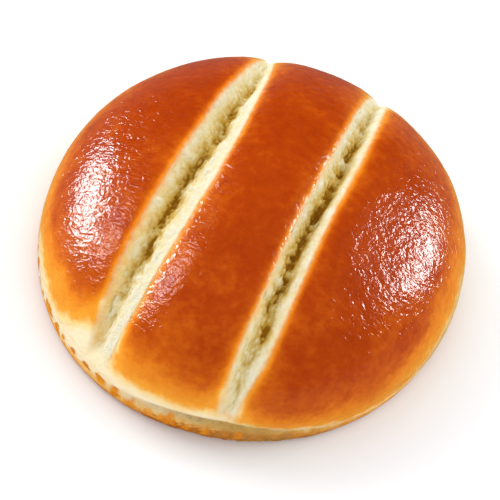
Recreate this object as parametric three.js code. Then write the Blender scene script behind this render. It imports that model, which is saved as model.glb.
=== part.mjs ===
// A round milk roll with two deep slashes across its top, in millimetres.
// X runs across the slashes, Y along them (the front end is at -Y), Z up from the flat underside.
import * as THREE from 'three'

// Body of the roll
const HALF_WIDTH = 52.5
const HEIGHT = 40.8
const WAIST_HEIGHT = 6
const SOLE_RADIUS = 51.2
const CROWN_POWER = 2.25
const SIDE_POWER = 2.06
const WAIST_SHARE = 0.9

// Uneven outline, as shares of the half width for the second, third and fourth wave round the roll.
// The slashes and the relief are laid out on the round shape, which the outline then stretches.
const OVAL_COS = -0.0163
const OVAL_SIN = 0.0212
const THREE_WAVE_SIN = 0.0087
const FOUR_WAVE_COS = -0.0021
const OUTLINE_FULL_RADIUS = 30
// Moves that put the middle of the uneven roll's box over the origin
const CENTRE_X = -0.072
const CENTRE_Y = 0.249

// The two slashes. Each lip: where it runs, how far it leans, bows and turns in at the front, and the
// width and drop of the rounded shoulder beside it. Each cut: its depth, where its lowest line runs
// across it, and its ends. They lie past the body in front, so the cuts run out over its front flank.
const SLASHES = [
  {
    left: { middle: -23.1, lean: 0.0168, bow: 0.0637, pinch: 0, width: 4.2, drop: 0.75 },
    right: { middle: -12.3, lean: -0.0233, bow: -0.0758, pinch: 0, width: 9, drop: 2.2 },
    depth: 5, groove: 0.33, grooveLean: 0.0025, front: -57, back: 50,
  },
  {
    left: { middle: 9.5, lean: -0.0317, bow: 0.0146, pinch: 0.4, width: 4.2, drop: 1 },
    right: { middle: 17.1, lean: -0.0533, bow: -0.0058, pinch: -1.8, width: 4.8, drop: 0.8 },
    depth: 4.9, groove: 0.56, grooveLean: 0.001, front: -57, back: 52,
  },
]
const LEAN_START = 7
const PINCH_START = 39
const PINCH_LENGTH = 10
const END_POWER = 2.5
const END_TAPER_POWER = 9
const WALL_REACH = 0.92
const BEVEL_SHARE = 0.42
const BEVEL_DEPTH = 0.22
const SHOULDER_LENGTH_GAIN = 1.6
const SLASH_FOOT_START = 7.5
const SLASH_FOOT_FADE = 10

// The foot: a rim under a crease, high at the front and low elsewhere
const RIM_LOW = 2.6
const RIM_RISE = 6.6
const RIM_FRONT_ANGLE = -77 * Math.PI / 180
const RIM_SPREAD = 0.5
const CREASE_DEPTH = 0.9
const CREASE_LEAST = 0.2
const CREASE_WIDTH = 0.9
const RIM_BULGE = 0.6
const FRONT_TUCK = 1.5
const FRONT_TUCK_TOP = 16
const CREASE_SOLE_FADE = 1.5

// Gentle unevenness of the crown
const SWELL = 0.35
const SWELL_X = 0.085
const SWELL_X_START = 0.8
const SWELL_Y = 0.062
const SWELL_Y_START = -0.4

// Mesh steps
const LOBE_STEPS_OUTER = 13
const LOBE_STEPS_MIDDLE = 6
const CROWN_ROWS = 27
const FLANK_ROWS = 17
const FLANK_START = 0.8
const STRAIGHT_LIMIT = 30
const STRAIGHT_FADE_START = 27
const STRAIGHT_FADE_WIDTH = 14
const SIDE_COLUMN_REACH = 60
const SIDE_COLUMN_POWER = 0.85
const NORMAL_STEP = 0.002
const HALVINGS = 40
const PASSES = 8
const TINY = 1e-9

// Shares of a slash's width at which columns of the mesh run, from lip to lip
const ACROSS = [0, 0.09, 0.18, 0.27, 0.36, 0.46, 0.57, 0.68, 0.79, 0.9, 1]
// Shares of a shoulder's width at which columns run outside a lip
const BESIDE = [0.16, 0.38, 0.67, 1]

const smooth = (t) => {
  const c = Math.min(1, Math.max(0, t))
  return c * c * (3 - 2 * c)
}

// Radius and height of the body's outline curve: share 0 is the crown, share 1 the edge of the sole
function profile(share) {
  if (share <= WAIST_SHARE) {
    const a = Math.PI / 2 * share / WAIST_SHARE
    const r = HALF_WIDTH * Math.pow(Math.sin(a), 2 / SIDE_POWER)
    const z = WAIST_HEIGHT + (HEIGHT - WAIST_HEIGHT) * Math.pow(Math.max(Math.cos(a), 0), 2 / CROWN_POWER)
    return { r, z }
  }
  const a = Math.PI / 2 * (share - WAIST_SHARE) / (1 - WAIST_SHARE)
  const r = SOLE_RADIUS + (HALF_WIDTH - SOLE_RADIUS) * Math.cos(a)
  return { r, z: WAIST_HEIGHT * (1 - Math.sin(a)) }
}

// Outward and upward parts of the unit normal of that curve
function profileNormal(share) {
  const a = profile(Math.max(share - NORMAL_STEP, 0))
  const b = profile(Math.min(share + NORMAL_STEP, 1))
  const length = Math.hypot(b.r - a.r, b.z - a.z)
  return { out: (a.z - b.z) / length, up: (b.r - a.r) / length }
}

// Stretch of the outline at an angle, fading out toward the middle of the crown
function outlineFactor(angle, radius) {
  const oval = OVAL_COS * Math.cos(2 * angle) + OVAL_SIN * Math.sin(2 * angle)
  const waves = THREE_WAVE_SIN * Math.sin(3 * angle) + FOUR_WAVE_COS * Math.cos(4 * angle)
  return 1 + (oval + waves) * smooth(radius / OUTLINE_FULL_RADIUS)
}

// Share at which the body's outline first reaches a radius
function shareAtRadius(radius) {
  let low = 0
  let high = WAIST_SHARE
  for (let k = 0; k < HALVINGS; k += 1) {
    const middle = (low + high) / 2
    if (profile(middle).r < radius) low = middle
    else high = middle
  }
  return (low + high) / 2
}

// Sideways run of a lip: it leans and bows, turns in at the front end, and passes the middle straight
const leanAt = (y) => y * smooth(Math.abs(y) / LEAN_START)
const pinchAt = (y) => smooth((-y - PINCH_START) / PINCH_LENGTH)
const lipShift = (lip, y) => lip.lean * leanAt(y) + lip.bow * y * y / HALF_WIDTH + lip.pinch * pinchAt(y)
const lipAt = (lip, y) => lip.middle + lipShift(lip, y)

// How far a mesh column moves sideways at y so that it follows the slashes' lips
function columnShift(x, y) {
  const stops = [{ at: -STRAIGHT_LIMIT, by: 0 }]
  for (const slash of SLASHES) {
    for (const lip of [slash.left, slash.right]) stops.push({ at: lip.middle, by: lipShift(lip, y) })
  }
  stops.push({ at: STRAIGHT_LIMIT, by: 0 })
  for (let k = 1; k < stops.length; k += 1) {
    const a = stops[k - 1]
    const b = stops[k]
    if (x >= a.at && x <= b.at) return a.by + (b.by - a.by) * (x - a.at) / (b.at - a.at)
  }
  return 0
}

// Share of a cut's depth at a share of its width: a steady left wall, and a right wall with a gentler
// upper part
function wallShare(across, groove) {
  if (across < groove) return Math.min(across / groove / WALL_REACH, 1)
  const side = Math.min((1 - across) / (1 - groove) / WALL_REACH, 1)
  const steep = smooth((side - BEVEL_SHARE) / (1 - BEVEL_SHARE))
  return BEVEL_DEPTH * Math.min(side / BEVEL_SHARE, 1) + (1 - BEVEL_DEPTH) * steep
}

// Depth of the slashes and of their rounded shoulders below the body's surface
function slashDepth(x, y) {
  let depth = 0
  for (const slash of SLASHES) {
    const centre = (slash.front + slash.back) / 2
    const half = (slash.back - slash.front) / 2
    const along = Math.abs(y - centre) / half
    if (along >= 1) continue
    const length = 1 - Math.pow(along, END_POWER)
    const taper = y > centre ? Math.pow(along, END_TAPER_POWER) : 0
    const middle = (lipAt(slash.left, y) + lipAt(slash.right, y)) / 2
    const reach = (lipAt(slash.right, y) - lipAt(slash.left, y)) / 2 * Math.sqrt(1 - taper)
    const left = middle - reach
    const right = middle + reach
    const across = Math.min(Math.max((x - left) / (right - left), 0), 1)
    const leftPart = 1 - Math.min(Math.max((left - x) / slash.left.width, 0), 1)
    const rightPart = 1 - Math.min(Math.max((x - right) / slash.right.width, 0), 1)
    const leftDrop = slash.left.drop * (1 - across) * leftPart * leftPart
    const rightDrop = slash.right.drop * across * rightPart * rightPart
    const drop = (leftDrop + rightDrop) * Math.min(1, length * SHOULDER_LENGTH_GAIN)
    depth += drop + slash.depth * length * wallShare(across, slash.groove + slash.grooveLean * y)
  }
  return depth
}

// Height of the crease over the foot at an angle round the roll
function creaseHeight(angle) {
  let turn = angle - RIM_FRONT_ANGLE
  turn = Math.atan2(Math.sin(turn), Math.cos(turn))
  return RIM_LOW + RIM_RISE * Math.exp(-turn * turn / (RIM_SPREAD * RIM_SPREAD))
}

// Outward relief of the foot: a groove along the crease, a low bulge under it, all drawn in at the front
function footRelief(z, angle) {
  const crease = creaseHeight(angle)
  const off = (z - crease) / CREASE_WIDTH
  const front = (crease - RIM_LOW) / RIM_RISE
  const groove = CREASE_DEPTH * Math.max(front, CREASE_LEAST) * Math.exp(-off * off)
  const under = z < crease ? Math.sin(Math.PI * z / crease) : 0
  const tuck = FRONT_TUCK * front * Math.max(1 - z / FRONT_TUCK_TOP, 0)
  return RIM_BULGE * front * under - tuck - groove * smooth(z / CREASE_SOLE_FADE)
}

function swell(x, y) {
  return SWELL * Math.sin(SWELL_X * x + SWELL_X_START) * Math.cos(SWELL_Y * y + SWELL_Y_START)
}

// Point of the roll on the column that starts at x, at a place from -1 (front sole) to 1 (back sole)
function surfacePoint(column, place) {
  const c = column.share
  const share = Math.min(Math.sqrt(c * c + place * place * (1 - c * c)), 1)
  const { r, z } = profile(share)
  const side = Math.sqrt(1 - c * c) * place
  const round = Math.atan2(side, Math.sign(column.x) * c)
  let angle = round
  if (column.straight > 0) {
    for (let pass = 0; pass < PASSES; pass += 1) {
      const x = column.x + columnShift(column.x, r * Math.sin(angle))
      const cosine = Math.min(Math.max(x / Math.max(r, TINY), -1), 1)
      const sign = place < 0 ? -1 : 1
      const straightAngle = sign * Math.acos(cosine)
      angle = straightAngle * column.straight + round * (1 - column.straight)
    }
  }
  const x = r * Math.cos(angle)
  const y = r * Math.sin(angle)
  const normal = profileNormal(share)
  const footFade = smooth((z - SLASH_FOOT_START) / SLASH_FOOT_FADE)
  const lift = swell(x, y) * normal.up - slashDepth(x, y) * footFade
  const radius = (r + normal.out * lift + footRelief(z, angle)) * outlineFactor(angle, r)
  const height = Math.max(z + normal.up * lift, 0)
  return new THREE.Vector3(radius * Math.cos(angle) + CENTRE_X, radius * Math.sin(angle) + CENTRE_Y, height)
}

// Places along X where mesh columns start, from the left edge of the sole to the right one
function columnPlaces() {
  const middle = []
  for (const slash of SLASHES) {
    const left = slash.left.middle
    const right = slash.right.middle
    for (const d of BESIDE) middle.push(left - slash.left.width * d, right + slash.right.width * d)
    for (const a of ACROSS) middle.push(left + (right - left) * a)
  }
  middle.sort((a, b) => a - b)
  const first = middle[0]
  const last = middle[middle.length - 1]
  const gapLeft = SLASHES[0].right.middle + SLASHES[0].right.width
  const gapRight = SLASHES[1].left.middle - SLASHES[1].left.width
  for (let k = 1; k < LOBE_STEPS_MIDDLE; k += 1) {
    middle.push(gapLeft + (gapRight - gapLeft) * k / LOBE_STEPS_MIDDLE)
  }
  middle.sort((a, b) => a - b)
  const columns = middle.map((x) => ({ x, share: shareAtRadius(Math.abs(x)) }))
  const leftShare = shareAtRadius(-first)
  const rightShare = shareAtRadius(last)
  for (let k = 1; k <= LOBE_STEPS_OUTER; k += 1) {
    const t = Math.pow(k / LOBE_STEPS_OUTER, SIDE_COLUMN_POWER)
    columns.push({ x: first - (SIDE_COLUMN_REACH + first) * t, share: leftShare + (1 - leftShare) * t })
    columns.push({ x: last + (SIDE_COLUMN_REACH - last) * t, share: rightShare + (1 - rightShare) * t })
  }
  columns.sort((a, b) => a.x - b.x)
  for (const column of columns) {
    column.straight = 1 - smooth((Math.abs(column.x) - STRAIGHT_FADE_START) / STRAIGHT_FADE_WIDTH)
  }
  return columns
}

function rowPlaces() {
  const half = [0]
  for (let k = 1; k <= CROWN_ROWS; k += 1) half.push(FLANK_START * k / CROWN_ROWS)
  for (let k = 1; k <= FLANK_ROWS; k += 1) half.push(FLANK_START + (1 - FLANK_START) * k / FLANK_ROWS)
  const front = half.slice(1).reverse().map((t) => -t)
  return [...front, ...half]
}

function rollGeometry() {
  const columns = columnPlaces()
  const rows = rowPlaces()
  const positions = []
  const index = []
  const at = columns.map((column, i) => {
    const pole = i === 0 || i === columns.length - 1
    return rows.map((place, j) => {
      if (!pole || j === 0) {
        const p = surfacePoint(column, pole ? 0 : place)
        positions.push(p.x, p.y, j === 0 || j === rows.length - 1 ? 0 : p.z)
      }
      return positions.length / 3 - 1
    })
  })
  const triangle = (a, b, c) => {
    if (a !== b && b !== c && a !== c) index.push(a, b, c)
  }
  const top = rows.length - 1
  for (let i = 0; i + 1 < columns.length; i += 1) {
    for (let j = 0; j < top; j += 1) {
      const a = at[i][j]
      const b = at[i + 1][j]
      const c = at[i + 1][j + 1]
      const d = at[i][j + 1]
      triangle(a, b, c)
      triangle(a, c, d)
    }
    triangle(at[i][0], at[i][top], at[i + 1][top])
    triangle(at[i][0], at[i + 1][top], at[i + 1][0])
  }
  const geometry = new THREE.BufferGeometry()
  geometry.setAttribute('position', new THREE.Float32BufferAttribute(positions, 3))
  geometry.setIndex(index)
  geometry.computeVertexNormals()
  return geometry
}

const crust = new THREE.MeshStandardMaterial({ color: 0xb4500c, roughness: 0.35 })
const roll = new THREE.Mesh(rollGeometry(), crust)
roll.name = 'bread_roll'

const group = new THREE.Group()
group.add(roll)
export default group
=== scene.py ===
# A round milk roll with two deep slashes, glazed and baked orange brown, lying on its flat underside.
# Shape values are in millimetres, on a round base shape whose outline is stretched at the end.
# X runs across the slashes, Y along them with the front ends at -Y, Z up.
import math

import bmesh
import bpy
import numpy as np
from mathutils import Matrix, Vector


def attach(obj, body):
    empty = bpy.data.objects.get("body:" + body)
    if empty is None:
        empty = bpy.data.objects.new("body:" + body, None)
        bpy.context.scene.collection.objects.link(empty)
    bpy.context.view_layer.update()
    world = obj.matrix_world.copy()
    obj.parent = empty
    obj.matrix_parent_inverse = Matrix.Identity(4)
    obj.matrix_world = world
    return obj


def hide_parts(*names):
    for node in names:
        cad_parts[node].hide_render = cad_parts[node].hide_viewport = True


MM = 0.001

# Body of the roll, as in the solid
HALF_WIDTH = 52.5
HEIGHT = 40.8
WAIST_HEIGHT = 6.0
SOLE_RADIUS = 51.2
CROWN_POWER = 2.25
SIDE_POWER = 2.06
WAIST_SHARE = 0.9
OVAL_COS = -0.0163
OVAL_SIN = 0.0212
THREE_WAVE_SIN = 0.0087
FOUR_WAVE_COS = -0.0021
OUTLINE_FULL_RADIUS = 30.0
CENTRE_X = -0.072
CENTRE_Y = 0.249

# Slashes. Lip: middle, lean, bow, front pinch. Shoulder: width, drop. Groove: place across, lean.
SLASHES = (
    dict(
        left=(-23.1, 0.0168, 0.0637, 0.0),
        right=(-12.3, -0.0233, -0.0758, 0.0),
        left_shoulder=(4.2, 0.75),
        right_shoulder=(9.0, 2.2),
        depth=5.0, groove=(0.33, 0.0025), front=-57.0, back=50.0, seed=11,
    ),
    dict(
        left=(9.5, -0.0317, 0.0146, 0.4),
        right=(17.1, -0.0533, -0.0058, -1.8),
        left_shoulder=(4.2, 1.0),
        right_shoulder=(4.8, 0.8),
        depth=4.9, groove=(0.56, 0.0010), front=-57.0, back=52.0, seed=23,
    ),
)

# Lips, shoulders, walls and floors of both slashes
LEAN_START = 7.0
PINCH_START = 39.0
PINCH_LENGTH = 10.0
END_POWER = 2.5
END_TAPER_POWER = 9
WALL_REACH = 0.92
BEVEL_SHARE = 0.42
BEVEL_DEPTH = 0.22
LEAST_SLASH_WIDTH = 0.2
SHOULDER_LENGTH_GAIN = 1.6
SLASH_FOOT_START = 7.5
SLASH_FOOT_FADE = 10.0
LEFT_WOBBLE = 0.24
LEFT_WOBBLE_LENGTH = 7.0
RIGHT_WOBBLE = 0.144
RIGHT_WOBBLE_LENGTH = 8.0
LIP_START = 0.2
LIP_SOFTNESS = 0.8
LIP_RAGGED = 0.12
LIP_RAGGED_SIZE = 0.9
END_SOFTNESS = 0.06
LIP_LINE_WIDTH = 0.55
LIP_LINE_UNEVEN = 0.5
LIP_LINE_UNEVEN_SIZE = 2.0
LIP_LINE_FRONT_GAIN = 1.3
LIP_LINE_FRONT_START = 6.0
LIP_LINE_FRONT_LENGTH = 22.0
GROOVE_WOBBLE = 0.10
GROOVE_WOBBLE_LENGTH = 6.0
DEPTH_WOBBLE = 0.13
DEPTH_WOBBLE_LENGTH = 5.0

# The foot under its crease
RIM_LOW = 2.6
RIM_RISE = 6.6
RIM_FRONT_ANGLE = math.radians(-77)
RIM_SPREAD = 0.5
CREASE_DEPTH = 0.9
CREASE_LEAST = 0.2
CREASE_WIDTH = 0.9
CREASE_SOLE_FADE = 1.5
RIM_BULGE = 0.6
FRONT_TUCK = 1.5
FRONT_TUCK_TOP = 16.0

# Golden brown of the foot: its height away from the front, what the front adds, and how ragged its edge is
GRAIN_LOW = 4.2
GRAIN_RISE = 6.8
GRAIN_FRONT_ANGLE = math.radians(-72)
GRAIN_SPREAD = 0.42
RIM_TONE_GAIN = 0.8
RIM_RAGGED = 0.9
RIM_RAGGED_SIZE = 2.4
RIM_LEAST_TOP = 1.0

# Row of small browned spots above the edge of the sole
SPOT_COUNT = 74
SPOT_SHIFT = 0.5
SPOT_HEIGHT = 4.6
SPOT_HEIGHT_SPREAD = 1.1
SPOT_HALF_HEIGHT = 1.9
SPOT_HALF_WIDTH = 1.4
SPOT_SIZE = 0.95
SPOT_SIZE_SPREAD = 0.4
SPOT_RAGGED = 0.3
SPOT_EDGE = 1.25
SPOT_SOFTNESS = 0.6
SPOT_FRONT_ANGLE = math.radians(-122)
SPOT_SPREAD = 0.85
SPOT_LEAST = 0.12
SPOT_FRONT_GAIN = 1.25
SPOT_STRENGTH_SPREAD = 0.3

# Height where the crust turns from orange to pale, and its changes: direction, reach, millimetres
ORANGE_HEIGHT = 21.5
ORANGE_CHANGES = (
    (-156, 34, -4.8),
    (-113, 6, 5.0),
    (-104, 6, -2.8),
    (-93, 9, -1.8),
    (-80, 16, -3.0),
    (-76, 5, 3.5),
    (-60, 13, -4.5),
    (-38, 23, -9.6),
    (-8, 15, -2.0),
    (18, 34, 2.2),
)
ORANGE_WANDER = 1.6
WANDER_SIZE = 11.0

# Bake from 0, pale, to 1, dark brown: at that height, above it and below it; the crust is also made darker
# towards the back
ORANGE_BAKE = 0.60
BAKE_RISE = 0.31
BAKE_RISE_LENGTH = 3.2
BAKE_LENGTH_CHANGES = ((-36, 30, 3.0),)
PALE_LENGTH = 21.0
PALE_STEP = 0.07
PALE_STEP_LENGTH = 5.0
BACK_DARKENING = 0.0008
BACK_DARKENING_LENGTH = 8.0

# Patches of the crust: middle, reach across and along the slashes, change of the bake
CRUST_PATCHES = (
    (10, -22, 21, 18, 0.05),
    (-30, 18, 14, 18, 0.07),
    (-6, -28, 8, 14, -0.06),
    (30, 36, 15, 13, -0.07),
)

# Least bake, where the low flank stays golden: direction, reach, bake
GOLDEN_CHANGES = (
    (-6, 46, 0.29),
    (115, 65, 0.16),
)

# Pale bands above the crease: one over the whole front and a wider one on the middle lobe
BAND_BAKE = 0.20
BAND_WIDTH = 2.8
LOBE_BAND_CHANGES = ((-97, 15, 0.20),)
LOBE_BAND_HEIGHT = 1.5
LOBE_BAND_WIDTH = 4.5

# Painted shade along the crease and on the wall under it at the front right, and a browner foot there,
# partly its own browning and partly painted shade
CREASE_SHADE_DROP = 0.4
CREASE_SHADE_ABOVE = 1.0
CREASE_SHADE_BELOW = 2.3
WALL_SHADE_CHANGES = ((-60, 19, 0.55),)
WALL_SHADE_WIDTH = 2.2
BROWN_FOOT_CHANGES = ((-52, 16, 0.25),)
BROWN_FOOT_START = 0.2
BROWN_FOOT_LENGTH = 0.25

# Paler crust beside the slashes' back ends and along their lips: reach and change of the bake
BACK_END_Y = 48.0
BACK_END_LENGTH = 11.0
BACK_END_WIDTH = 6.0
BACK_END_BAKE = 0.20
LIP_BANDS = (
    (0.9, 0.28),
    (3.2, 0.09),
)
BAKED_ENOUGH = 0.3
BAKED_ENOUGH_LENGTH = 0.3

# Darker tone of the crumb deeper in the slashes, partly its own tone and partly painted shade, for the
# right slash and the left one, each stronger towards the front
RIGHT_HOLLOW_GAIN = 0.20
RIGHT_HOLLOW_START = 18.0
RIGHT_HOLLOW_LENGTH = 20.0
LEFT_HOLLOW = 0.89
LEFT_HOLLOW_GAIN = 0.14
LEFT_HOLLOW_START = 4.0
LEFT_HOLLOW_LENGTH = 22.0
HOLLOW_SHARE = 0.98
HOLLOW_PATCHES = 0.16
HOLLOW_PATCH_WIDTH = 9.0
HOLLOW_PATCH_LENGTH = 6.0
HOLLOW_LUMPS = 0.24
HOLLOW_CRUMBS = 0.14
CUT_TONE_START = 0.06
CUT_TONE_LENGTH = 0.8

# Gentle unevenness of the crown
SWELL = 0.35
SWELL_X = 0.085
SWELL_X_START = 0.8
SWELL_Y = 0.062
SWELL_Y_START = -0.4

# Mesh steps
SLASH_STEPS = 40
SHOULDER_STEPS = 12
MIDDLE_STEPS = 44
OUTER_STEPS = 120
CROWN_ROWS = 190
FLANK_ROWS = 84
FLANK_START = 0.8
STRAIGHT_LIMIT = 30.0
STRAIGHT_FADE_START = 27.0
STRAIGHT_FADE_WIDTH = 14.0
SIDE_COLUMN_REACH = 60.0
SIDE_COLUMN_POWER = 0.85
SHIFT_PASSES = 8
HALVINGS = 40
NORMAL_STEP = 0.002
MERGE_DISTANCE = 1e-6

# Fine relief: heights, and sizes of its lumps, crumbs, waves, wrinkles and grains
CRUMB_ROUGH = 0.55
LUMP_WIDTH = 2.6
LUMP_LENGTH = 3.0
LUMP_LEVEL = 0.7
CRUMB_FINE = 0.2
CRUMB_WIDTH = 0.9
CRUMB_LENGTH = 1.0
CRUMB_LEVEL = 0.6
CRUMB_START = 0.35
SKIN_WAVE = 0.10
SKIN_WAVE_SIZE = 9.0
SKIN_WRINKLE = 0.03
WRINKLE_WIDTH = 1.15
WRINKLE_LENGTH = 1.5
WRINKLE_HEIGHT = 1.3
SKIN_SOLE_FADE = 1.5
FOOT_GRAIN = 0.22
FOOT_GRAIN_SIZE = 1.1
FOOT_GRAIN_START = 0.2

# Tones of the crust by its bake, of the crumb by how deep it lies, partly its own tone and partly painted
# shade, and of the foot by its browning and a painted contact shadow
CRUST_TONES = (
    (0.00, (0.93, 0.78, 0.51)),
    (0.22, (0.92, 0.63, 0.24)),
    (0.36, (0.88, 0.35, 0.025)),
    (0.60, (0.76, 0.21, 0.006)),
    (0.76, (0.56, 0.10, 0.002)),
    (0.90, (0.41, 0.047, 0.0003)),
    (1.00, (0.35, 0.034, 0.0002)),
)
CRUMB_TONES = (
    (0.10, (0.79, 0.73, 0.54)),
    (0.42, (0.77, 0.66, 0.36)),
    (0.80, (0.63, 0.41, 0.075)),
    (1.00, (0.31, 0.13, 0.007)),
)
# Darker towards the sole's edge: partly browning, partly a painted contact shadow
FOOT_TONES = (
    (0.05, (0.86, 0.68, 0.40)),
    (0.32, (0.84, 0.50, 0.16)),
    (0.60, (0.72, 0.28, 0.04)),
    (0.92, (0.41, 0.11, 0.008)),
)

# Uneven tones of the toasted lips, of the browned spots and of the painted shade in the crease and on the
# wall under it
TOASTED_TONES = (
    (0.30, (0.88, 0.42, 0.05)),
    (0.70, (0.88, 0.60, 0.16)),
)
SCORCH_TONES = (
    (0.35, (0.62, 0.17, 0.008)),
    (0.65, (0.78, 0.30, 0.020)),
)
CREASE_SHADE_TONES = (
    (0.30, (0.32, 0.17, 0.03)),
    (0.60, (0.54, 0.36, 0.12)),
)
TOASTED_SHARE = 0.85
CREASE_SHADE_SHARE = 0.85

# Noises of the material: scale, detail, roughness and, for the wrinkles, distortion
MOTTLES = (110, 4, 0.6)
FLECKS = (460, 4, 0.65)
PORES = (900, 4, 0.7)
GRAINS = (620, 3, 0.6)
WRINKLES = (500, 2, 0.5, 1.0)
FINE_WRINKLES = (1300, 1, 0.5)
DULL_GRAINS = (700, 4, 0.6)
MOTTLE_STRENGTH = 0.34
FLECK_STRENGTH = 0.28
PORE_STRENGTH = 0.25

# Foot's edge and, away from the front and at it, the strength of its speckles and of its darkening towards
# the sole's edge, partly browning and partly a painted contact shadow
FOOT_EDGE_GAIN = 5.0
SPECKLE_STRENGTH = (0.3, 2.6)
FOOT_TONE_GAIN = (0.85, 2.9)
FOOT_TONE_SHIFT = (0.08, -0.40)

# Gloss of the pale and of the dark skin, dullness of crumb and foot, glaze, depth of light and bump
SKIN_ROUGHNESS = (0.5, 0.3)
DULL_ROUGHNESS = 0.85
COAT_WEIGHT = 0.8
COAT_ROUGHNESS = 0.152
SUBSURFACE_WEIGHT = 0.08
SUBSURFACE_RADIUS = (1.0, 0.45, 0.15)
SUBSURFACE_SCALE = 0.0018
WRINKLE_STRETCH = (0.7, 1.3, 1.0)
FINE_WRINKLE_SHARE = 0.35
DULL_BUMP_GAIN = 3.0
BUMP_DISTANCE = 0.00030

# Camera, fitted to the photographed outline: angles in degrees, distance, target and lens in millimetres
CAMERA_ELEVATION = 55.39
CAMERA_AZIMUTH = 10.25
CAMERA_LEAN = 17.39
CAMERA_DISTANCE = 558.1
CAMERA_TARGET = (0.734 + CENTRE_X, -5.868 + CENTRE_Y, 14.28)
FOCAL_LENGTH = 166.1

# Soft boxes: distance and height of aim in metres, and how much further off a box stands that only shines
SOFT_BOX_DISTANCE = 0.62
SOFT_BOX_AIM = 0.02
SHINING_AWAY = 4.0

# Floor, in metres: its size, and between which distances from the roll's middle its tone changes; it is
# painted brighter and bluer away from the roll, a painted light over the roll's shadow and warm bounce
FLOOR_SIZE = 6
FLOOR_NEAR = 0.054
FLOOR_FAR = 0.074
HAZE_LEVEL = 0.0001
HAZE_TONE = (0.14, 0.14, 0.14)


def smooth(t):
    """Soft step: 0 up to t = 0, 1 from t = 1 on."""
    c = np.clip(t, 0.0, 1.0)
    return c * c * (3 - 2 * c)


def around(angle, middle, reach):
    """1 in one direction around the roll, fading to 0 on both sides of it."""
    turn = np.arctan2(np.sin(angle - middle), np.cos(angle - middle))
    return np.exp(-(turn / reach) ** 2)


def added(angle, changes):
    """Sum of changes around the roll, each with its direction and reach in degrees."""
    total = 0.0
    for middle, reach, change in changes:
        total = total + change * around(angle, math.radians(middle), math.radians(reach))
    return total


def hashed(ix, iy, iz, seed):
    """A number from -1 to 1 for each lattice point, the same in every run."""
    h = (ix * 374761393 + iy * 668265263 + iz * 2147483647 + seed * 1274126177) & 0xFFFFFFFF
    h = ((h ^ (h >> 13)) * 1274126177) & 0xFFFFFFFF
    h = h ^ (h >> 16)
    return (h & 0xFFFF) / 32767.5 - 1.0


def noise(x, y, z, seed):
    """Smooth value noise with a lattice step of 1."""
    x, y, z = np.broadcast_arrays(x, y, z)
    ix, iy, iz = (np.floor(v).astype(np.int64) for v in (x, y, z))
    fx, fy, fz = (smooth(v - i) for v, i in ((x, ix), (y, iy), (z, iz)))
    total = np.zeros(x.shape)
    for dx in (0, 1):
        for dy in (0, 1):
            for dz in (0, 1):
                weight = (fx if dx else 1 - fx) * (fy if dy else 1 - fy) * (fz if dz else 1 - fz)
                total += weight * hashed(ix + dx, iy + dy, iz + dz, seed)
    return total


def layered(x, y, z, seed, layers=3):
    """Noise in layers, each half as large and half as strong; callers divide the places by its size."""
    total = 0.0
    size = 1.0
    for k in range(layers):
        total = total + noise(x * 2 ** k, y * 2 ** k, z * 2 ** k, seed + 7 * k) * size
        size *= 0.5
    return total


def profile(share):
    """Radius and height of the body's outline curve: share 0 is the crown, share 1 the edge of the sole."""
    a = np.pi / 2 * np.clip(share / WAIST_SHARE, 0, 1)
    r = HALF_WIDTH * np.sin(a) ** (2 / SIDE_POWER)
    z = WAIST_HEIGHT + (HEIGHT - WAIST_HEIGHT) * np.clip(np.cos(a), 0, 1) ** (2 / CROWN_POWER)
    b = np.pi / 2 * np.clip((share - WAIST_SHARE) / (1 - WAIST_SHARE), 0, 1)
    low = share > WAIST_SHARE
    r = np.where(low, SOLE_RADIUS + (HALF_WIDTH - SOLE_RADIUS) * np.cos(b), r)
    z = np.where(low, WAIST_HEIGHT * (1 - np.sin(b)), z)
    return r, z


def profile_normal(share):
    """Outward and upward parts of the unit normal of that curve."""
    r0, z0 = profile(np.clip(share - NORMAL_STEP, 0, 1))
    r1, z1 = profile(np.clip(share + NORMAL_STEP, 0, 1))
    length = np.hypot(r1 - r0, z1 - z0)
    return (z0 - z1) / length, (r1 - r0) / length


def outline_factor(angle, radius):
    """Stretch of the round base shape to the roll's outline, none in the middle of the crown."""
    waves = OVAL_COS * np.cos(2 * angle) + OVAL_SIN * np.sin(2 * angle)
    waves = waves + THREE_WAVE_SIN * np.sin(3 * angle) + FOUR_WAVE_COS * np.cos(4 * angle)
    return 1 + waves * smooth(radius / OUTLINE_FULL_RADIUS)


def share_at_radius(radius):
    """Share of the outline curve at which it has a radius, found by halving."""
    low, high = 0.0, WAIST_SHARE
    for _ in range(HALVINGS):
        middle = (low + high) / 2
        if float(profile(np.array(middle))[0]) < radius:
            low = middle
        else:
            high = middle
    return (low + high) / 2


def lip_shift(lip, y):
    """Sideways run of a lip: straight at the middle, then leaning and bowed, pinched at the front end."""
    _, lean, bow, pinch = lip
    run = lean * y * smooth(np.abs(y) / LEAN_START)
    return run + bow * y * y / HALF_WIDTH + pinch * smooth((-y - PINCH_START) / PINCH_LENGTH)


def column_shift(x, y):
    """How far a mesh column moves sideways at y so that it follows the slashes' lips."""
    at = [-STRAIGHT_LIMIT]
    by = [np.zeros_like(y)]
    for slash in SLASHES:
        for side in ("left", "right"):
            at.append(slash[side][0])
            by.append(lip_shift(slash[side], y))
    at.append(STRAIGHT_LIMIT)
    by.append(np.zeros_like(y))
    total = np.zeros_like(y)
    for k in range(1, len(at)):
        inside = (x >= at[k - 1]) & (x < at[k])
        t = (x - at[k - 1]) / (at[k] - at[k - 1])
        total = np.where(inside, by[k - 1] + (by[k] - by[k - 1]) * t, total)
    return total


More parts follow.
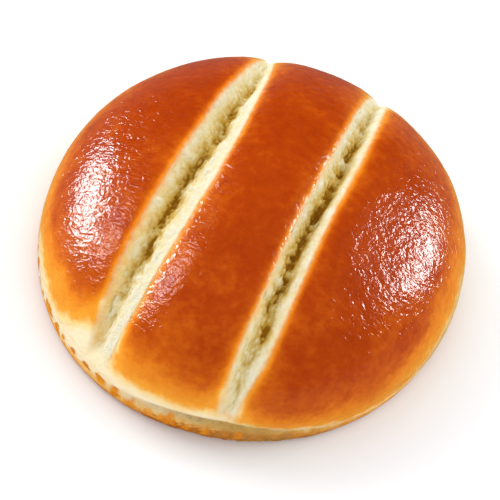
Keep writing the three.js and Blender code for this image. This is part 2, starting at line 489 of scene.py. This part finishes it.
def slash_edges(slash, y, along, centre):
    """Sideways places of a slash's two lips, which wobble and run together at the back end."""
    left = slash["left"][0] + lip_shift(slash["left"], y)
    right = slash["right"][0] + lip_shift(slash["right"], y)
    middle = (left + right) / 2
    taper = np.where(y > centre, along, 0) ** END_TAPER_POWER
    width = np.sqrt(np.clip(1 - taper, 0, 1))
    left = middle + (left - middle) * width
    left = left + LEFT_WOBBLE * layered(y / LEFT_WOBBLE_LENGTH, 0.3, 0.7, slash["seed"])
    right = middle + (right - middle) * width
    right = right + RIGHT_WOBBLE * layered(y / RIGHT_WOBBLE_LENGTH, 3.3, 0.7, slash["seed"] + 2)
    return left, right


def slash_wall(slash, y, across):
    """How far down between the lips and the floor a place across a slash lies, from 0 to 1."""
    groove = slash["groove"][0] + slash["groove"][1] * y
    groove = groove + GROOVE_WOBBLE * layered(y / GROOVE_WOBBLE_LENGTH, 1.1, 5.2, slash["seed"] + 4)
    from_left = np.clip(across / groove / WALL_REACH, 0, 1)
    from_right = np.clip((1 - across) / (1 - groove) / WALL_REACH, 0, 1)
    steep = np.clip((from_right - BEVEL_SHARE) / (1 - BEVEL_SHARE), 0, 1)
    bevel = BEVEL_DEPTH * np.minimum(from_right / BEVEL_SHARE, 1) + (1 - BEVEL_DEPTH) * smooth(steep)
    return np.where(across < groove, from_left, bevel)


def one_slash(slash, x, y):
    """Depth of a slash with its shoulders, and its marks."""
    seed = slash["seed"]
    centre = (slash["front"] + slash["back"]) / 2
    half = (slash["back"] - slash["front"]) / 2
    along = np.abs(y - centre) / half
    length = np.clip(1 - along ** END_POWER, 0, 1)
    left, right = slash_edges(slash, y, along, centre)
    inward = np.minimum(x - left, right - x)
    across = np.clip((x - left) / np.maximum(right - left, LEAST_SLASH_WIDTH), 0, 1)

    left_width, left_drop = slash["left_shoulder"]
    right_width, right_drop = slash["right_shoulder"]
    left_part = left_drop * (1 - across) * (1 - np.clip((left - x) / left_width, 0, 1)) ** 2
    right_part = right_drop * across * (1 - np.clip((x - right) / right_width, 0, 1)) ** 2
    drop = (left_part + right_part) * np.minimum(1, length * SHOULDER_LENGTH_GAIN)
    wall = np.where(inward > 0, slash_wall(slash, y, across), 0)
    uneven = layered(y / DEPTH_WOBBLE_LENGTH, 4.1, 2.2, seed + 8)
    floor_depth = slash["depth"] * (1 + DEPTH_WOBBLE * uneven)

    uneven = layered(x / LIP_RAGGED_SIZE, y / LIP_RAGGED_SIZE, 2.2, seed + 6, 2)
    ragged = inward + LIP_RAGGED * uneven
    cut = smooth(ragged / LIP_SOFTNESS + LIP_START) * smooth(length / END_SOFTNESS)
    gap = np.maximum(-inward, 0) + np.maximum(along - 1, 0) * half
    uneven = layered(x / LIP_LINE_UNEVEN_SIZE, y / LIP_LINE_UNEVEN_SIZE, 3.1, seed + 9, 2)
    line = LIP_LINE_WIDTH * (1 + LIP_LINE_UNEVEN * uneven)
    to_front = smooth((-y - LIP_LINE_FRONT_START) / LIP_LINE_FRONT_LENGTH)
    line = line * (1 + LIP_LINE_FRONT_GAIN * np.where(across < 0.5, to_front, 0))
    lip_line = cut * np.exp(-(np.maximum(inward, 0) / line) ** 2)
    return drop + floor_depth * length * wall, cut, wall * length, gap, lip_line


def slash_parts(x, y):
    """Depth of the slashes below the body's surface, and their marks."""
    parts = [one_slash(slash, x, y) for slash in SLASHES]
    depths, cuts, deeps, gaps, lip_lines = zip(*parts)
    depth = np.sum(depths, axis=0)
    gap = np.min(gaps, axis=0)
    cut, deep, lip_line = (np.max(marks, axis=0) for marks in (cuts, deeps, lip_lines))
    return depth, cut, deep, gap, lip_line


def crease_height(angle):
    """Height of the crease above the foot."""
    return RIM_LOW + RIM_RISE * around(angle, RIM_FRONT_ANGLE, RIM_SPREAD)


def front_share(angle):
    """1 at the middle of the grainy stretch of the foot, 0 away from it."""
    return around(angle, GRAIN_FRONT_ANGLE, GRAIN_SPREAD)


def rim_top(angle):
    """Height up to which the foot is golden brown."""
    return GRAIN_LOW + GRAIN_RISE * front_share(angle)


def spot_mark(z, angle):
    """Uneven row of small browned spots above the edge of the sole, strongest at the front left."""
    turns = angle * SPOT_COUNT / (2 * np.pi) + SPOT_SHIFT * layered(angle * 9.0, 0.4, 1.7, 81, 2)
    nearest = np.round(turns)
    number = nearest.astype(np.int64)
    size = SPOT_SIZE + SPOT_SIZE_SPREAD * hashed(number, 4, 6, 89)
    aside = (turns - nearest) * 2 * np.pi * SOLE_RADIUS / SPOT_COUNT / SPOT_HALF_WIDTH
    height = SPOT_HEIGHT + SPOT_HEIGHT_SPREAD * hashed(number, 3, 5, 87)
    above = (z - height) / SPOT_HALF_HEIGHT
    away = np.hypot(aside, above) / size + SPOT_RAGGED * layered(angle * 52.0, z / 1.1, 2.3, 83, 2)
    strength = SPOT_LEAST + SPOT_FRONT_GAIN * around(angle, SPOT_FRONT_ANGLE, SPOT_SPREAD)
    strength = strength + SPOT_STRENGTH_SPREAD * hashed(number, 1, 2, 91)
    return np.clip(smooth((SPOT_EDGE - away) / SPOT_SOFTNESS) * strength, 0, 1)


def foot_relief(z, angle):
    """How far the flank stands out: the bulge of the foot, less the tuck of the front and the crease."""
    crease = crease_height(angle)
    off = (z - crease) / CREASE_WIDTH
    front = (crease - RIM_LOW) / RIM_RISE
    groove = CREASE_DEPTH * np.maximum(front, CREASE_LEAST) * np.exp(-off * off)
    under = np.where(z < crease, np.sin(np.pi * np.clip(z / crease, 0, 1)), 0)
    tuck = FRONT_TUCK * front * np.clip(1 - z / FRONT_TUCK_TOP, 0, 1)
    return RIM_BULGE * front * under - tuck - groove * smooth(z / CREASE_SOLE_FADE)


def column_places():
    """Starting X, share and straightness of each mesh column, from the left edge to the right one."""
    places = []
    for slash in SLASHES:
        left, right = slash["left"][0], slash["right"][0]
        places += [left + (right - left) * k / SLASH_STEPS for k in range(SLASH_STEPS + 1)]
        left_width, right_width = slash["left_shoulder"][0], slash["right_shoulder"][0]
        places += [left - left_width * k / SHOULDER_STEPS for k in range(1, SHOULDER_STEPS + 1)]
        places += [right + right_width * k / SHOULDER_STEPS for k in range(1, SHOULDER_STEPS + 1)]
    gap_left = SLASHES[0]["right"][0] + SLASHES[0]["right_shoulder"][0]
    gap_right = SLASHES[1]["left"][0] - SLASHES[1]["left_shoulder"][0]
    places += [gap_left + (gap_right - gap_left) * k / MIDDLE_STEPS for k in range(1, MIDDLE_STEPS)]
    places.sort()
    first, last = places[0], places[-1]
    columns = [(x, share_at_radius(abs(x))) for x in places]
    left_share, right_share = share_at_radius(-first), share_at_radius(last)
    for k in range(1, OUTER_STEPS + 1):
        t = (k / OUTER_STEPS) ** SIDE_COLUMN_POWER
        columns.append((first - (SIDE_COLUMN_REACH + first) * t, left_share + (1 - left_share) * t))
        columns.append((last + (SIDE_COLUMN_REACH - last) * t, right_share + (1 - right_share) * t))
    columns.sort()
    x = np.array([c[0] for c in columns])
    share = np.array([c[1] for c in columns])
    straight = 1 - smooth((np.abs(x) - STRAIGHT_FADE_START) / STRAIGHT_FADE_WIDTH)
    return x, share, straight


def row_places():
    """Places of the mesh rows along the slashes, from -1 at the front to 1 at the back."""
    crown = FLANK_START * np.arange(0, CROWN_ROWS + 1) / CROWN_ROWS
    flank = FLANK_START + (1 - FLANK_START) * np.arange(1, FLANK_ROWS + 1) / FLANK_ROWS
    half = np.concatenate([crown, flank])
    return np.concatenate([-half[:0:-1], half])


def grid_places():
    """Share and angle of each grid point: the columns near the slashes follow their lips."""
    start_x, c, straight = (v[:, None] for v in column_places())
    place = row_places()[None, :]
    share = np.minimum(np.sqrt(c * c + place ** 2 * (1 - c * c)), 1)
    r = profile(share)[0]
    round_angle = np.arctan2(np.sqrt(1 - c * c) * place, np.sign(start_x) * c)
    angle = round_angle.copy()
    sign = np.where(place < 0, -1.0, 1.0)
    for _ in range(SHIFT_PASSES):
        x = start_x + column_shift(start_x + 0 * angle, r * np.sin(angle))
        straight_angle = sign * np.arccos(np.clip(x / np.maximum(r, 1e-9), -1, 1))
        angle = straight_angle * straight + round_angle * (1 - straight)
    return share, angle


def crumb_relief(x, y, depth):
    """Lumps and crumbs of the torn crumb, each partly above and partly below 0."""
    lumps = np.abs(layered(x / LUMP_WIDTH, y / LUMP_LENGTH, depth / LUMP_WIDTH, 41)) * 2 - LUMP_LEVEL
    crumbs = np.abs(layered(x / CRUMB_WIDTH, y / CRUMB_LENGTH, depth / CRUMB_WIDTH, 43, 2))
    return lumps, crumbs * 2 - CRUMB_LEVEL


def skin_relief(x, y, z):
    """Shallow waves and wrinkles of the skin, none at the edge of the sole."""
    waves = layered(x / SKIN_WAVE_SIZE, y / SKIN_WAVE_SIZE, z / SKIN_WAVE_SIZE, 51, 2)
    wrinkles = layered(x / WRINKLE_WIDTH, y / WRINKLE_LENGTH, z / WRINKLE_HEIGHT, 53, 2)
    return (waves * SKIN_WAVE + wrinkles * SKIN_WRINKLE) * smooth(z / SKIN_SOLE_FADE)


def foot_rim(x, y, z, angle):
    """1 at the edge of the sole, falling to 0 at the ragged top of the golden foot."""
    ragged = layered(x / RIM_RAGGED_SIZE, y / RIM_RAGGED_SIZE, z / RIM_RAGGED_SIZE, 67, 2)
    tone_top = rim_top(angle) + RIM_TONE_GAIN * (1 - front_share(angle)) + RIM_RAGGED * ragged
    return np.clip(1 - z / np.maximum(tone_top, RIM_LEAST_TOP), 0, 1)


def hollow_mark(x, y, deep, lumps, crumbs):
    """How far down in a slash a point lies, uneven with the lumps of the crumb; it darkens the crumb,
    partly as its own tone and partly as painted shade.
    """
    right_gain = 1 + RIGHT_HOLLOW_GAIN * smooth((-y - RIGHT_HOLLOW_START) / RIGHT_HOLLOW_LENGTH)
    left_gain = LEFT_HOLLOW + LEFT_HOLLOW_GAIN * smooth((-y - LEFT_HOLLOW_START) / LEFT_HOLLOW_LENGTH)
    patches = layered(x / HOLLOW_PATCH_WIDTH, y / HOLLOW_PATCH_LENGTH, 0.5, 45, 2)
    gain = np.where(x < 0, left_gain, right_gain) * (HOLLOW_SHARE + HOLLOW_PATCHES * patches)
    return np.clip(deep * gain - HOLLOW_LUMPS * lumps - HOLLOW_CRUMBS * crumbs, 0, 1)


def roll_points():
    """Grid of points over the roll, and the grids of marks that its colours use."""
    share, angle = grid_places()
    r, z = profile(share)
    out, up = profile_normal(share)
    x, y = r * np.cos(angle), r * np.sin(angle)
    front = front_share(angle)
    rim = foot_rim(x, y, z, angle)
    depth, cut, deep, lip_gap, lip_line = slash_parts(x, y)
    foot_fade = smooth((z - SLASH_FOOT_START) / SLASH_FOOT_FADE)
    depth = depth * foot_fade

    lumps, crumbs = crumb_relief(x, y, depth)
    torn = lumps * CRUMB_ROUGH + crumbs * CRUMB_FINE
    in_cut = smooth(deep / CRUMB_START) * foot_fade
    grain = layered(x / FOOT_GRAIN_SIZE, y / FOOT_GRAIN_SIZE, z / FOOT_GRAIN_SIZE, 61, 2)
    grain = grain * FOOT_GRAIN * front * smooth(rim / FOOT_GRAIN_START)
    lift = SWELL * np.sin(SWELL_X * x + SWELL_X_START) * np.cos(SWELL_Y * y + SWELL_Y_START) * up
    lift = lift - depth + torn * in_cut + skin_relief(x, y, z) * (1 - in_cut) + grain

    radius = (r + out * lift + foot_relief(z, angle)) * outline_factor(angle, r)
    px = radius * np.cos(angle) + CENTRE_X
    py = radius * np.sin(angle) + CENTRE_Y
    pz = np.maximum(z + up * lift, 0)
    pz[:, 0] = 0
    pz[:, -1] = 0
    marks = dict(
        height=z,
        angle=angle,
        cut=cut * smooth((foot_fade - CUT_TONE_START) / CUT_TONE_LENGTH),
        hollow_tone_and_shade=hollow_mark(x, y, deep * foot_fade, lumps, crumbs),
        lip_gap=lip_gap,
        lip_line=lip_line,
        rim=rim,
        front=front,
    )
    return np.stack([px, py, pz], -1), marks


def roll_mesh():
    """Mesh of the roll with its marks as attributes, and the numbers of its columns and rows."""
    points, marks = roll_points()
    columns, rows = points.shape[:2]
    index = np.arange(columns * rows).reshape(columns, rows)
    a, b = index[:-1, :-1].ravel(), index[1:, :-1].ravel()
    c, d = index[1:, 1:].ravel(), index[:-1, 1:].ravel()
    quads = np.stack([a, b, c, d], 1)
    sole = np.stack([index[:-1, 0], index[:-1, -1], index[1:, -1], index[1:, 0]], 1)
    faces = np.concatenate([quads, sole])
    flat = points.reshape(-1, 3) * MM
    mesh = bpy.data.meshes.new("roll")
    mesh.vertices.add(len(flat))
    mesh.vertices.foreach_set("co", flat.astype(np.float32).ravel())
    mesh.loops.add(len(faces) * 4)
    mesh.loops.foreach_set("vertex_index", faces.astype(np.int32).ravel())
    mesh.polygons.add(len(faces))
    mesh.polygons.foreach_set("loop_start", np.arange(0, len(faces) * 4, 4, dtype=np.int32))
    mesh.polygons.foreach_set("use_smooth", np.ones(len(faces), dtype=bool))
    mesh.update(calc_edges=True)
    for name, values in colour_marks(points, marks).items():
        layer = mesh.attributes.new(name, "FLOAT", "POINT")
        layer.data.foreach_set("value", values.astype(np.float32).ravel())
    return mesh, columns, rows


def patch(x, y, middle_x, middle_y, reach_x, reach_y):
    """1 at a place on the crust, fading to 0 away from it."""
    return np.exp(-((x - middle_x) / reach_x) ** 2 - ((y - middle_y) / reach_y) ** 2)


def crust_bake(x, y, z, marks):
    """Bake of the crust from 0, pale, to 1, dark brown, without the pale bands."""
    angle = marks["angle"]
    orange_height = ORANGE_HEIGHT + added(angle, ORANGE_CHANGES)
    wander = ORANGE_WANDER * layered(x / WANDER_SIZE, y / WANDER_SIZE, z / WANDER_SIZE, 71)
    above = marks["height"] - orange_height + wander
    rise_length = BAKE_RISE_LENGTH + added(angle, BAKE_LENGTH_CHANGES)
    bake = ORANGE_BAKE + BAKE_RISE * (1 - np.exp(-np.maximum(above, 0) / rise_length))
    bake = bake + np.minimum(above, 0) / PALE_LENGTH
    bake = bake - PALE_STEP * smooth((-above - PALE_STEP_LENGTH) / PALE_STEP_LENGTH)
    # Darker towards the back of the crown, by a small step with y
    bake = bake + BACK_DARKENING * y * smooth(above / BACK_DARKENING_LENGTH)
    for middle_x, middle_y, reach_x, reach_y, change in CRUST_PATCHES:
        bake = bake + change * patch(x, y, middle_x, middle_y, reach_x, reach_y)
    golden = added(angle, GOLDEN_CHANGES)
    return golden + (1 - golden) * np.clip(bake, 0, 1)


def colour_marks(points, marks):
    """Marks from 0 to 1 for the material: how baked the skin is, how deep the crumb, where the foot is."""
    x, y, z = points[..., 0], points[..., 1], points[..., 2]
    angle, front, lip_gap, rim = marks["angle"], marks["front"], marks["lip_gap"], marks["rim"]
    above = marks["height"] - crease_height(angle)

    bake = crust_bake(x, y, z, marks)
    bake = bake - BAND_BAKE * front * np.exp(-(above / BAND_WIDTH) ** 2)
    lobe_band = np.exp(-((above - LOBE_BAND_HEIGHT) / LOBE_BAND_WIDTH) ** 2)
    bake = bake - added(angle, LOBE_BAND_CHANGES) * lobe_band
    back_end = BACK_END_BAKE * patch(lip_gap, y, 0, BACK_END_Y, BACK_END_WIDTH, BACK_END_LENGTH)
    bake = bake - back_end * smooth((bake - BAKED_ENOUGH) / BAKED_ENOUGH_LENGTH)
    lip = sum(change * np.exp(-(lip_gap / reach) ** 2) for reach, change in LIP_BANDS)
    bake = np.clip(bake, 0, 1) - lip * smooth((bake - BAKED_ENOUGH) / BAKED_ENOUGH_LENGTH)

    # Painted shade: a dark band along the crease at the front, wider below it than above
    below = above + CREASE_SHADE_DROP
    crease = front * np.exp(-(below / np.where(below > 0, CREASE_SHADE_ABOVE, CREASE_SHADE_BELOW)) ** 2)
    # Painted shade on the wall under the crease at the front right
    wall_shade = added(angle, WALL_SHADE_CHANGES) * np.exp(-(np.maximum(above, 0) / WALL_SHADE_WIDTH) ** 2)
    # Darker foot at the front right: partly its browning, partly painted shade
    rim = rim + added(angle, BROWN_FOOT_CHANGES) * smooth((rim - BROWN_FOOT_START) / BROWN_FOOT_LENGTH)
    return dict(
        bake=np.clip(bake, 0, 1),
        cut=marks["cut"],
        rim=np.minimum(rim, 1),
        hollow_tone_and_shade=marks["hollow_tone_and_shade"],
        lip_line=marks["lip_line"],
        front=front,
        crease=np.maximum(crease, wall_shade),
        spots=spot_mark(marks["height"], angle),
    )


def merge_poles(mesh, columns, rows):
    """The first and last column are one point each: their copies are merged."""
    bm = bmesh.new()
    bm.from_mesh(mesh)
    bm.verts.ensure_lookup_table()
    ends = [bm.verts[j] for j in range(rows)] + [bm.verts[(columns - 1) * rows + j] for j in range(rows)]
    bmesh.ops.remove_doubles(bm, verts=ends, dist=MERGE_DISTANCE)
    bm.to_mesh(mesh)
    bm.free()
    mesh.update()


class Nodes:
    """Short calls for building a node tree."""

    def __init__(self, material):
        self.tree = material.node_tree
        self.tree.nodes.clear()

    def new(self, kind, **values):
        node = self.tree.nodes.new(kind)
        for name, value in values.items():
            setattr(node, name, value)
        return node

    def link(self, a, b):
        self.tree.links.new(a, b)

    def mark(self, name):
        return self.new("ShaderNodeAttribute", attribute_name=name).outputs["Fac"]

    def math(self, operation, a, b=None, clamp=False):
        node = self.new("ShaderNodeMath", operation=operation, use_clamp=clamp)
        for socket, value in zip(node.inputs, (a, b)):
            if value is None:
                continue
            if isinstance(value, (int, float)):
                socket.default_value = value
            else:
                self.link(value, socket)
        return node.outputs[0]

    def noise(self, vector, scale, detail=3.0, rough=0.5, distortion=0.0):
        node = self.new("ShaderNodeTexNoise")
        self.link(vector, node.inputs["Vector"])
        node.inputs["Scale"].default_value = scale
        node.inputs["Detail"].default_value = detail
        node.inputs["Roughness"].default_value = rough
        node.inputs["Distortion"].default_value = distortion
        return node.outputs["Fac"]

    def ramp(self, factor, stops):
        node = self.new("ShaderNodeValToRGB")
        while len(node.color_ramp.elements) < len(stops):
            node.color_ramp.elements.new(0.5)
        for element, (at, colour) in zip(node.color_ramp.elements, stops):
            element.position = at
            element.color = (*colour, 1)
        self.link(factor, node.inputs["Fac"])
        return node.outputs["Color"]

    def spread(self, noise, strength):
        """Noise shifted to lie around 0, and scaled."""
        return self.math("MULTIPLY", self.math("SUBTRACT", noise, 0.5), strength)

    def mix(self, factor, a, b):
        node = self.new("ShaderNodeMix", data_type="RGBA")
        self.link(factor, node.inputs["Factor"])
        self.link(a, node.inputs[6])
        self.link(b, node.inputs[7])
        return node.outputs[2]

    def mix_value(self, factor, a, b):
        node = self.new("ShaderNodeMix", data_type="FLOAT")
        for socket, value in ((node.inputs[0], factor), (node.inputs[2], a), (node.inputs[3], b)):
            if isinstance(value, (int, float)):
                socket.default_value = value
            else:
                self.link(value, socket)
        return node.outputs[0]


def crumb_colour(n, place, fleck):
    """Pale torn crumb, darker and browner further down, partly its own tone and partly painted shade, with
    a toasted line along the lips.
    """
    # Darker deeper in the slash: the crumb's own tone and painted shade
    low = n.math("ADD", n.mark("hollow_tone_and_shade"), n.spread(n.noise(place, *PORES), PORE_STRENGTH))
    lip_line = n.math("MULTIPLY", n.mark("lip_line"), TOASTED_SHARE, clamp=True)
    return n.mix(lip_line, n.ramp(low, CRUMB_TONES), n.ramp(fleck, TOASTED_TONES))


def foot_colour(n, rim, grain):
    """Golden foot, grainy at the front, darker towards the sole's edge: partly its browning, partly a
    painted contact shadow.
    """
    front = n.mark("front")
    speckle = n.spread(grain, n.mix_value(front, *SPECKLE_STRENGTH))
    full_front = n.math("MULTIPLY", front, front)
    tone = n.math("MULTIPLY", rim, n.mix_value(full_front, *FOOT_TONE_GAIN))
    tone = n.math("ADD", tone, n.mix_value(front, *FOOT_TONE_SHIFT))
    return n.ramp(n.math("ADD", tone, speckle), FOOT_TONES)


def bread_bump(n, place, dull):
    """Fine wrinkles on the glazed skin and rougher grains on the dull crumb and foot."""
    stretched = n.new("ShaderNodeVectorMath", operation="MULTIPLY")
    n.link(place, stretched.inputs[0])
    stretched.inputs[1].default_value = WRINKLE_STRETCH
    wrinkle = n.noise(stretched.outputs[0], *WRINKLES)
    fine = n.math("MULTIPLY", n.noise(place, *FINE_WRINKLES), FINE_WRINKLE_SHARE)
    rough = n.math("MULTIPLY", n.noise(place, *DULL_GRAINS), DULL_BUMP_GAIN)
    bump = n.new("ShaderNodeBump")
    bump.inputs["Strength"].default_value = 1.0
    bump.inputs["Distance"].default_value = BUMP_DISTANCE
    n.link(n.mix_value(dull, n.math("ADD", wrinkle, fine), rough), bump.inputs["Height"])
    return bump.outputs[0]


def bread_material():
    """Glazed crust, torn crumb and grainy foot, told apart by the marks."""
    material = bpy.data.materials.new("glazed crust and crumb")
    material.use_nodes = True
    n = Nodes(material)
    place = n.new("ShaderNodeTexCoord").outputs["Object"]
    cut, rim = n.mark("cut"), n.mark("rim")
    fleck, grain = n.noise(place, *FLECKS), n.noise(place, *GRAINS)
    foot_edge = n.math("MULTIPLY", rim, FOOT_EDGE_GAIN, clamp=True)
    dull = n.math("MAXIMUM", cut, foot_edge)
    shiny = n.math("SUBTRACT", 1.0, dull, clamp=True)

    baked = n.math("ADD", n.mark("bake"), n.spread(n.noise(place, *MOTTLES), MOTTLE_STRENGTH))
    baked = n.math("ADD", baked, n.spread(fleck, FLECK_STRENGTH))
    # Painted shade of the crease and of the wall under it, in darker olive tones
    crease = n.math("MULTIPLY", n.mark("crease"), CREASE_SHADE_SHARE, clamp=True)
    colour = n.mix(foot_edge, n.ramp(baked, CRUST_TONES), foot_colour(n, rim, grain))
    colour = n.mix(crease, colour, n.ramp(grain, CREASE_SHADE_TONES))
    colour = n.mix(n.mark("spots"), colour, n.ramp(fleck, SCORCH_TONES))
    colour = n.mix(cut, colour, crumb_colour(n, place, fleck))

    shader = n.new("ShaderNodeBsdfPrincipled")
    n.link(colour, shader.inputs["Base Color"])
    skin_roughness = n.mix_value(baked, *SKIN_ROUGHNESS)
    n.link(n.mix_value(dull, skin_roughness, DULL_ROUGHNESS), shader.inputs["Roughness"])
    n.link(n.math("MULTIPLY", shiny, COAT_WEIGHT), shader.inputs["Coat Weight"])
    shader.inputs["Coat Roughness"].default_value = COAT_ROUGHNESS
    shader.inputs["Specular IOR Level"].default_value = 0.0
    shader.inputs["Subsurface Weight"].default_value = SUBSURFACE_WEIGHT
    shader.inputs["Subsurface Radius"].default_value = SUBSURFACE_RADIUS
    shader.inputs["Subsurface Scale"].default_value = SUBSURFACE_SCALE
    bump = bread_bump(n, place, dull)
    n.link(bump, shader.inputs["Normal"])
    n.link(bump, shader.inputs["Coat Normal"])
    output = n.new("ShaderNodeOutputMaterial")
    n.link(shader.outputs[0], output.inputs["Surface"])
    return material


def floor_plane(name, level, near, far):
    """A wide matt plane with one tone near the roll and another away from it."""
    bpy.ops.mesh.primitive_plane_add(size=FLOOR_SIZE, location=(0, 0, level))
    plane = bpy.context.object
    plane.name = name
    material = bpy.data.materials.new(name)
    material.use_nodes = True
    n = Nodes(material)
    distance = n.new("ShaderNodeVectorMath", operation="LENGTH")
    n.link(n.new("ShaderNodeTexCoord").outputs["Object"], distance.inputs[0])
    share = n.math("MULTIPLY", distance.outputs["Value"], 1 / FLOOR_FAR)
    tones = n.ramp(share, ((FLOOR_NEAR / FLOOR_FAR, near), (1.0, far)))
    shader = n.new("ShaderNodeBsdfPrincipled")
    n.link(tones, shader.inputs["Base Color"])
    shader.inputs["Roughness"].default_value = 0.9
    shader.inputs["Specular IOR Level"].default_value = 0.0
    output = n.new("ShaderNodeOutputMaterial")
    n.link(shader.outputs[0], output.inputs["Surface"])
    plane.data.materials.append(material)
    return plane


def soft_box(name, azimuth, elevation, width, height, power, shines=True, reflects=True):
    """An area light that faces the roll from a direction: azimuth counts from +X towards +Y.

    Width, height and power hold at SOFT_BOX_DISTANCE. A box that only shines stands further off,
    grown to look the same from the roll, so that its plane doesn't cut the floor near by.
    """
    away = 1.0 if reflects else SHINING_AWAY
    a, e = math.radians(azimuth), math.radians(elevation)
    back = Vector((math.cos(e) * math.cos(a), math.cos(e) * math.sin(a), math.sin(e)))
    data = bpy.data.lights.new(name, "AREA")
    data.shape = "RECTANGLE"
    data.size = width * away
    data.size_y = height * away
    data.energy = power * away ** 2
    light = bpy.data.objects.new(name, data)
    light.visible_diffuse = shines
    light.visible_transmission = shines
    light.visible_glossy = reflects
    light.location = back * SOFT_BOX_DISTANCE * away + Vector((0, 0, SOFT_BOX_AIM))
    light.rotation_mode = "QUATERNION"
    light.rotation_quaternion = back.to_track_quat("Z", "Y")
    bpy.context.scene.collection.objects.link(light)


def set_world(level):
    """Even white light from all sides, which the glaze doesn't mirror."""
    world = bpy.data.worlds.new("white room")
    world.use_nodes = True
    background = world.node_tree.nodes["Background"]
    background.inputs["Color"].default_value = (1, 1, 1, 1)
    background.inputs["Strength"].default_value = level
    world.cycles_visibility.glossy = False
    bpy.context.scene.world = world


def set_camera():
    """The camera stands in front, to the right and above, and leans over to its left."""
    data = bpy.data.cameras.new("camera")
    data.sensor_width = 36
    data.lens = FOCAL_LENGTH
    data.clip_start, data.clip_end = 0.01, 50
    camera = bpy.data.objects.new("camera", data)
    e, a, lean = (math.radians(v) for v in (CAMERA_ELEVATION, CAMERA_AZIMUTH, CAMERA_LEAN))
    back = Vector((math.sin(a) * math.cos(e), -math.cos(a) * math.cos(e), math.sin(e)))
    right = Vector((0, 0, 1)).cross(back).normalized()
    up = back.cross(right)
    across = right * math.cos(lean) + up * math.sin(lean)
    upward = up * math.cos(lean) - right * math.sin(lean)
    place = Vector(CAMERA_TARGET) + back * CAMERA_DISTANCE
    turn = Matrix((across, upward, back)).transposed().to_4x4()
    camera.matrix_world = Matrix.Translation(place * MM) @ turn
    bpy.context.scene.collection.objects.link(camera)
    bpy.context.scene.camera = camera


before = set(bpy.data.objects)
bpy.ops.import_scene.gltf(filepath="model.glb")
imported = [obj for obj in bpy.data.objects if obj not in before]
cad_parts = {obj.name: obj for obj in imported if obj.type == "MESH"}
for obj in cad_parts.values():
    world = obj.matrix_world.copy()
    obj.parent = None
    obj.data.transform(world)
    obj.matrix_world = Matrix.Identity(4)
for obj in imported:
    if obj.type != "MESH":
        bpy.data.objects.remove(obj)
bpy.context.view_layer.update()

mesh, columns, rows = roll_mesh()
merge_poles(mesh, columns, rows)
roll = bpy.data.objects.new("roll", mesh)
bpy.context.scene.collection.objects.link(roll)
mesh.materials.append(bread_material())
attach(roll, "root")
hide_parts("bread_roll")

# The glaze mirrors a dim floor that nothing else sees, which gives the faint haze along the roll's edges
# The floor is painted brighter and bluer away from the roll: painted light that washes out the roll's
# shadow and warm bounce
floor = floor_plane("floor", 0.0, (0.86, 0.865, 0.87), (0.93, 0.955, 0.985))
floor.visible_glossy = False
haze_floor = floor_plane("haze floor", HAZE_LEVEL, HAZE_TONE, HAZE_TONE)
haze_floor.visible_camera = False
haze_floor.visible_diffuse = False
haze_floor.visible_transmission = False
haze_floor.visible_shadow = False

soft_box("left light", 170, 30, 0.34, 0.36, 1.9, reflects=False)
soft_box("right light", 40, 34, 0.34, 0.34, 0.9, reflects=False)
soft_box("left reflection", 175, 11, 0.32, 0.15, 5.4, shines=False)
soft_box("middle reflection", 199, 42, 0.18, 0.18, 0.85, shines=False)
soft_box("front left reflection", 203, 30, 0.13, 0.10, 0.6, shines=False)
soft_box("right reflection", 37, 16, 0.25, 0.15, 3.5, shines=False)
soft_box("upper right reflection", 24, 27, 0.16, 0.10, 0.12, shines=False)
set_world(1.0)
set_camera()
bpy.context.scene.view_settings.view_transform = "Standard"
